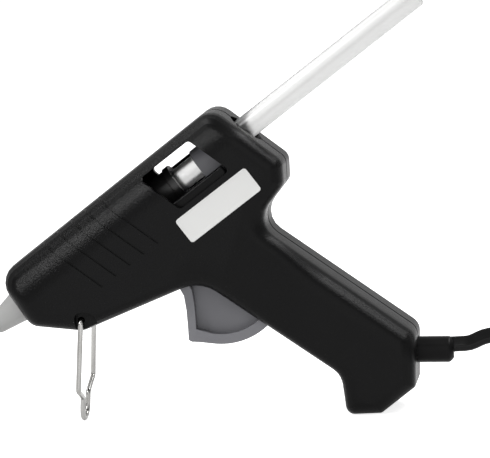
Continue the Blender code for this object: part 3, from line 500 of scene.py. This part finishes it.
def softVinyl(name, vinyl):
    paint = Paint(name)
    ripple = paint.noise(*vinylSurface["ripple"])
    fine = paint.noise(*vinylSurface["fine"])
    rippled = vinyl["roughness"] + ripple.swing(vinylSurface["rippleSwing"])
    return paint.finish({
        "Base Color": paint.mix(ripple, vinyl["dark"], vinyl["light"]),
        "Specular IOR Level": vinyl["shine"],
        "Roughness": rippled + fine.swing(vinylSurface["fineSwing"]),
        "Normal": paint.bump(ripple, vinylSurface["rippleStrength"], vinyl["rippleDepth"]),
    })


laminate = {
    "dark": (0.62, 0.62, 0.61),
    "light": (0.70, 0.70, 0.69),
    "roughness": 0.42,
    "fibre": (700.0, 4.0, 0.7),
    "fibreSwing": 0.20,
    "fibreStrength": 0.25,
    "fibreDepth": 0.00002,
    "cloud": (60.0, 2.0, 0.5),
}


def labelPaper(name):
    # pale laminate with the faint weave of its backing
    paint = Paint(name)
    fibre = paint.noise(*laminate["fibre"])
    cloud = paint.noise(*laminate["cloud"])
    return paint.finish({
        "Base Color": paint.mix(cloud, laminate["dark"], laminate["light"]),
        "Roughness": laminate["roughness"] + fibre.swing(laminate["fibreSwing"]),
        "Normal": paint.bump(fibre, laminate["fibreStrength"], laminate["fibreDepth"]),
    })


ceramic = {
    "dark": (0.05, 0.05, 0.055),
    "light": (0.11, 0.11, 0.115),
    "roughness": 0.75,
    "speck": (900.0, 4.0, 0.7),
    "speckReach": (0.45, 0.70),
    "speckSwing": 0.2,
    "speckStrength": 0.4,
    "speckDepth": 0.00003,
}


def ceramicFinish(name):
    paint = Paint(name)
    speck = paint.noise(*ceramic["speck"])
    specks = paint.ramp(speck, *ceramic["speckReach"])
    return paint.finish({
        "Base Color": paint.mix(specks, ceramic["dark"], ceramic["light"]),
        "Roughness": ceramic["roughness"] + speck.swing(ceramic["speckSwing"]),
        "Normal": paint.bump(speck, ceramic["speckStrength"], ceramic["speckDepth"]),
    })


slide = Vector(next(j["axis"] for j in frame["joints"] if j["name"] == "stick_feed"))
barrelTilt = math.asin(-slide.z)
barrelUp = Vector((0, 1, 0)).cross(slide)
housingTop = max(barrelUp.dot(v.co) for v in nodes["housing_left"].data.vertices)

# the line of the handle's back, and how far along it the shoulder fades in
handle = {
    "upper": (0.0205, 0, 0.0543),
    "lower": (0.0586, 0, 0.0251),
    "fade": (0.002, 0.020),
}
handleRun = (Vector(handle["lower"]) - Vector(handle["upper"])).normalized()
handleUp = handleRun.cross(Vector((0, 1, 0)))
handleTop = handleUp.dot(Vector(handle["upper"]))
handleStart = handleRun.dot(Vector(handle["upper"]))

blackPlastic = mouldedPlastic("black satin plastic", {
    "dark": (0.0020, 0.0020, 0.0021), "light": (0.0028, 0.0028, 0.0029),
    "worn": (0.0075, 0.0075, 0.0078), "roughness": 0.34, "shine": 0.09,
    "grainSize": 2100.0, "grainDepth": 0.00016, "seam": 0.0006,
    "shoulders": (
        {"up": barrelUp, "top": housingTop, "depth": 0.013, "slope": 1.15, "within": None},
        {"up": handleUp, "top": handleTop, "depth": 0.008, "slope": 0.60, "run": handleRun,
         "within": [handleStart + reach for reach in handle["fade"]]},
    ),
})
greyPlastic = mouldedPlastic("grey satin plastic", {
    "dark": (0.150, 0.150, 0.162), "light": (0.172, 0.172, 0.185),
    "worn": (0.22, 0.22, 0.235), "roughness": 0.44, "shine": 0.30,
    "grainSize": 2200.0, "grainDepth": 0.00004, "seam": None, "shoulders": (),
})
# silicone: dark, light, roughness; metal: the same and the scale of its scratches
finishes = {
    "black_plastic": blackPlastic,
    "grey_plastic": greyPlastic,
    "grey_silicone": softSilicone(
        "grey silicone", (0.335, 0.335, 0.33), (0.38, 0.38, 0.375), 0.55),
    "black_silicone": softSilicone(
        "black silicone", (0.008, 0.008, 0.008), (0.013, 0.013, 0.013), 0.32),
    "glue": glueStickFinish("milky glue", barrelTilt),
    "steel": drawnMetal(
        "plated wire", (0.34, 0.335, 0.325), (0.44, 0.435, 0.425), 0.24, 1500.0),
    "brass": drawnMetal(
        "turned brass", (0.52, 0.36, 0.15), (0.68, 0.50, 0.24), 0.30, 1800.0),
    "aluminium": drawnMetal(
        "cast aluminium", (0.55, 0.55, 0.56), (0.70, 0.70, 0.71), 0.42, 1200.0),
    "ceramic": ceramicFinish("fired ceramic"),
    "black_vinyl": softVinyl("moulded black vinyl", {
        "dark": (0.0030, 0.0030, 0.0031), "light": (0.0042, 0.0042, 0.0043),
        "roughness": 0.36, "shine": 0.08, "rippleDepth": 0.00004,
    }),
}


def paintAll(piece, finish):
    piece.data.materials.clear()
    piece.data.materials.append(finish)


for name, node in nodes.items():
    for holder in node.material_slots:
        holder.material = finishes[slotOf[name]]
print("materials made")


def clearSelection():
    if bpy.context.object and bpy.context.object.mode != "OBJECT":
        bpy.ops.object.mode_set(mode="OBJECT")
    bpy.ops.object.select_all(action="DESELECT")


def makeActive(piece):
    clearSelection()
    piece.select_set(True)
    bpy.context.view_layer.objects.active = piece


# before the bevel, vertices nearer than merge become one and faces that bend by less than flat
# are joined
edgeWork = {"merge": 0.000002, "flat": 0.5, "segments": 2}


def softened(nodeName, pieceName, body, width, sharp):
    # a copy of the node with its edges broken as a mould breaks them
    source = nodes[nodeName]
    piece = source.copy()
    piece.data = source.data.copy()
    piece.name = pieceName
    bpy.context.scene.collection.objects.link(piece)
    makeActive(piece)
    bpy.ops.object.mode_set(mode="EDIT")
    bpy.ops.mesh.select_all(action="SELECT")
    bpy.ops.mesh.remove_doubles(threshold=edgeWork["merge"])
    bpy.ops.mesh.dissolve_limited(angle_limit=math.radians(edgeWork["flat"]))
    bpy.ops.object.mode_set(mode="OBJECT")
    if width:
        rounding = piece.modifiers.new("edges", "BEVEL")
        rounding.width = width
        rounding.segments = edgeWork["segments"]
        rounding.limit_method = "ANGLE"
        rounding.angle_limit = math.radians(sharp)
        bpy.ops.object.modifier_apply(modifier="edges")
    bpy.ops.object.shade_smooth_by_angle(angle=math.radians(sharp))
    even = piece.modifiers.new("shading", "WEIGHTED_NORMAL")
    even.keep_sharp = True
    bpy.ops.object.modifier_apply(modifier="shading")
    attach(piece, body)
    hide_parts(nodeName)
    return piece


# Piece name, body, bevel, and the angle over which an edge is rounded. A bevel of zero leaves
# the edges as they are. The spring rides whole on the carriage and does not stretch.
finer = {
    "housing_left": ("mouldedLeft", "housing", 0.00055, 40),
    "housing_right": ("mouldedRight", "housing", 0.00055, 40),
    "trigger": ("mouldedTrigger", "trigger", 0.00040, 40),
    "carriage": ("mouldedCarriage", "carriage", 0.00025, 40),
    "glue_stick": ("glueStick", "glue_stick", 0.00015, 40),
    "nozzle_cover": ("nozzleCover", "housing", 0.00015, 40),
    "nozzle": ("brassNozzle", "housing", 0.00010, 40),
    "feed_sleeve": ("feedSleeve", "housing", 0.00015, 40),
    "strain_relief": ("cordBush", "housing", 0.00040, 40),
    "stand": ("wireStand", "stand", 0.0, 50),
    "sleeve_clamp": ("sleeveClamp", "housing", 0.0, 50),
    "return_spring": ("returnSpring", "carriage", 0.0, 50),
    "trigger_pin": ("triggerPin", "housing", 0.00010, 40),
    "melt_chamber": ("meltChamber", "housing", 0.00015, 40),
    "housing_screw_1": ("bodyScrew1", "housing", 0.00008, 40),
    "housing_screw_2": ("bodyScrew2", "housing", 0.00008, 40),
    "housing_screw_3": ("bodyScrew3", "housing", 0.00008, 40),
    "housing_screw_4": ("bodyScrew4", "housing", 0.00008, 40),
    "plug_body": ("plugBody", "housing", 0.00050, 40),
    "plug_pin_1": ("plugPin1", "housing", 0.00015, 40),
    "plug_pin_2": ("plugPin2", "housing", 0.00015, 40),
    "coil_tie": ("coilTie", "housing", 0.00020, 40),
}
made = {nodeName: softened(nodeName, *row) for nodeName, row in finer.items()}
print("pieces softened")

paintAll(mainsCord, softVinyl("glossy cord vinyl", {
    "dark": (0.0035, 0.0035, 0.0036), "light": (0.0055, 0.0055, 0.0056),
    "roughness": 0.19, "shine": 0.12, "rippleDepth": 0.00003,
}))
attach(mainsCord, "housing")
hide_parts("cord", "cord_coil")

# the barrel's own frame: where its origin stands, in x and z, and its lean in degrees
barrel = {"start": (0.0128, 0.08551), "lean": 34.85}


def barrelPlace():
    # from the barrel's frame, along its axis and square to it, to where the gun stands
    place = Matrix.Rotation(-math.radians(barrel["lean"]), 4, "Y")
    place.translation = (barrel["start"][0], 0, barrel["start"][1])
    return place


# ledges inside the window, in the barrel's frame: two sills under the stick and a rib over it
nearSill = {
    "middle": -0.0205,
    "length": 0.0205,
    "low": -0.0078,
    "top": -0.0039,
    "inner": 0.0060,
    "outer": 0.0114,
    "rounding": 0.0009,
    "segments": 4,
    "sharp": 40,
}
farSill = dict(nearSill, top=-0.0029)
rib = dict(nearSill, low=0.0026, top=0.0044, inner=0.0092, rounding=0.0004)


def makeLedge(name, side, sizes):
    clearSelection()
    wide, high = sizes["outer"] - sizes["inner"], sizes["top"] - sizes["low"]
    across = side * (sizes["outer"] + sizes["inner"]) / 2
    centre = (sizes["middle"], across, (sizes["top"] + sizes["low"]) / 2)
    extent = (sizes["length"], wide, high)
    bpy.ops.mesh.primitive_cube_add(size=1, location=(0, 0, 0), scale=extent)
    piece = bpy.context.object
    piece.name = name
    bpy.ops.object.transform_apply(location=False, rotation=False, scale=True)
    edges = piece.modifiers.new("edges", "BEVEL")
    edges.width = sizes["rounding"]
    edges.segments = sizes["segments"]
    bpy.ops.object.modifier_apply(modifier="edges")
    bpy.ops.object.shade_smooth_by_angle(angle=math.radians(sizes["sharp"]))
    piece.data.transform(barrelPlace() @ Matrix.Translation(centre))
    paintAll(piece, blackPlastic)
    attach(piece, "housing")


# the rating label is a bare sticker; along and above place its middle in the barrel's frame
label = {
    "along": -0.0181,
    "above": -0.0126,
    "side": -0.0130,
    "lean": -0.3,
    "length": 0.0263,
    "height": 0.0082,
    "corner": 0.0009,
    "cornerSegments": 5,
    "border": 0.00045,
    "sunk": 0.00004,
    "thickness": 0.00015,
    "edge": 0.00003,
    "edgeSegments": 2,
    "sharp": 30,
}


def makeLabel(sizes):
    lean = math.radians(barrel["lean"])
    along, above = sizes["along"], sizes["above"]
    x = barrel["start"][0] + along * math.cos(lean) - above * math.sin(lean)
    z = barrel["start"][1] + along * math.sin(lean) + above * math.cos(lean)
    clearSelection()
    bpy.ops.mesh.primitive_plane_add(size=1, location=(0, 0, 0))
    piece = bpy.context.object
    piece.name = "ratingLabel"
    piece.scale = (sizes["length"], sizes["height"], 1)
    bpy.ops.object.transform_apply(location=False, rotation=False, scale=True)
    bpy.ops.object.mode_set(mode="EDIT")
    bpy.ops.mesh.select_all(action="SELECT")
    corner, segments = sizes["corner"], sizes["cornerSegments"]
    bpy.ops.mesh.bevel(offset=corner, segments=segments, affect="VERTICES")
    bpy.ops.mesh.select_all(action="SELECT")
    bpy.ops.mesh.inset(thickness=sizes["border"], depth=0)
    bpy.ops.mesh.inset(thickness=sizes["sunk"], depth=-sizes["sunk"])
    bpy.ops.object.mode_set(mode="OBJECT")
    piece.rotation_euler = (math.pi / 2, 0, 0)
    piece.location = (x, sizes["side"] - sizes["thickness"], z)
    bpy.ops.object.transform_apply(location=True, rotation=True, scale=True)
    toOrigin = Matrix.Translation((-x, 0, -z))
    turn = Matrix.Rotation(-(lean + math.radians(sizes["lean"])), 4, "Y")
    piece.data.transform(Matrix.Translation((x, 0, z)) @ turn @ toOrigin)
    thick = piece.modifiers.new("paper", "SOLIDIFY")
    thick.thickness = sizes["thickness"]
    thick.offset = -1
    edge = piece.modifiers.new("edges", "BEVEL")
    edge.width = sizes["edge"]
    edge.segments = sizes["edgeSegments"]
    bpy.ops.object.modifier_apply(modifier="paper")
    bpy.ops.object.modifier_apply(modifier="edges")
    bpy.ops.object.shade_smooth_by_angle(angle=math.radians(sizes["sharp"]))
    paintAll(piece, labelPaper("bare rating label"))
    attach(piece, "housing")


makeLabel(label)
print("label made")
for ledgeName, side, sizes in (
    ("windowSillLeft", -1, nearSill), ("windowSillRight", 1, farSill), ("guideRibRight", 1, rib),
):
    makeLedge(ledgeName, side, sizes)
print("window sills made")


# The surroundings are white to the camera and dimmer in reflections. The floor is dimmer still
# through the stick, which would burn out to white over it.
stage = {
    "floorRadius": 4.0,
    "floorCorners": 96,
    "floorColour": (0.80, 0.80, 0.80),
    "floorRoughness": 0.9,
    "floorGlow": 0.80,
    "worldLevel": 0.30,
    "worldGlow": 0.70,
    "floorRays": {"Is Camera Ray": 1.0, "Is Glossy Ray": 0.48, "Is Transmission Ray": 0.35},
    "worldRays": {"Is Camera Ray": 1.0, "Is Glossy Ray": 0.48, "Is Transmission Ray": 1.0},
}
white = (1, 1, 1, 1)


def makeFloor(sizes):
    clearSelection()
    corners, radius = sizes["floorCorners"], sizes["floorRadius"]
    bpy.ops.mesh.primitive_circle_add(vertices=corners, radius=radius, fill_type="NGON")
    floor = bpy.context.object
    floor.name = "paleFloor"
    paint = Paint("pale floor")
    glow = 0.0
    for ray, weight in sizes["floorRays"].items():
        share = paint.add("ShaderNodeLightPath", {}, {}, ray)
        glow = glow + share * (weight * sizes["floorGlow"])
    paintAll(floor, paint.finish({
        "Base Color": sizes["floorColour"],
        "Roughness": sizes["floorRoughness"],
        "Emission Color": white,
        "Emission Strength": glow,
    }))


def makeWorld(sizes):
    world = bpy.data.worlds.new("paleStudio")
    bpy.context.scene.world = world
    world.use_nodes = True
    tree = world.node_tree
    background = tree.nodes["Background"]
    background.inputs["Color"].default_value = white
    path = tree.nodes.new("ShaderNodeLightPath")
    level = None
    for ray, weight in sizes["worldRays"].items():
        share = tree.nodes.new("ShaderNodeMath")
        share.operation = "MULTIPLY_ADD"
        tree.links.new(path.outputs[ray], share.inputs[0])
        share.inputs[1].default_value = weight * sizes["worldGlow"]
        share.inputs[2].default_value = sizes["worldLevel"]
        if level:
            tree.links.new(level, share.inputs[2])
        level = share.outputs[0]
    tree.links.new(level, background.inputs["Strength"])


makeFloor(stage)
makeWorld(stage)

lamps = {
    "handleSoftbox": {"at": (0.53, 0.16, 0.86), "width": 0.85, "length": 0.36, "watts": 8.5},
    "barrelSoftbox": {"at": (-0.64, -0.44, 0.64), "width": 0.24, "length": 0.24, "watts": 4.0},
    "barrelBackStrip": {"at": (-0.60, 0.26, 0.76), "width": 0.56, "length": 0.20, "watts": 1.7},
    "topStrip": {"at": (0.08, -0.42, 0.88), "width": 0.30, "length": 0.12, "watts": 0.5},
    "frontFill": {"at": (0.10, -0.90, 0.35), "width": 0.70, "length": 0.70, "watts": 1.9},
}
for name, lamp in lamps.items():
    data = bpy.data.lights.new(name, "AREA")
    data.shape = "RECTANGLE"
    data.size = lamp["width"]
    data.size_y = lamp["length"]
    data.energy = lamp["watts"]
    softbox = bpy.data.objects.new(name, data)
    bpy.context.scene.collection.objects.link(softbox)
    # a lamp seen through the stick would be a white spot in it
    softbox.visible_transmission = False
    softbox.location = lamp["at"]
    aim = Vector(camera["lookAt"]) - softbox.location
    softbox.rotation_euler = aim.to_track_quat("-Z", "Y").to_euler()
print("stage lit")

bpy.context.scene.view_settings.view_transform = "Standard"
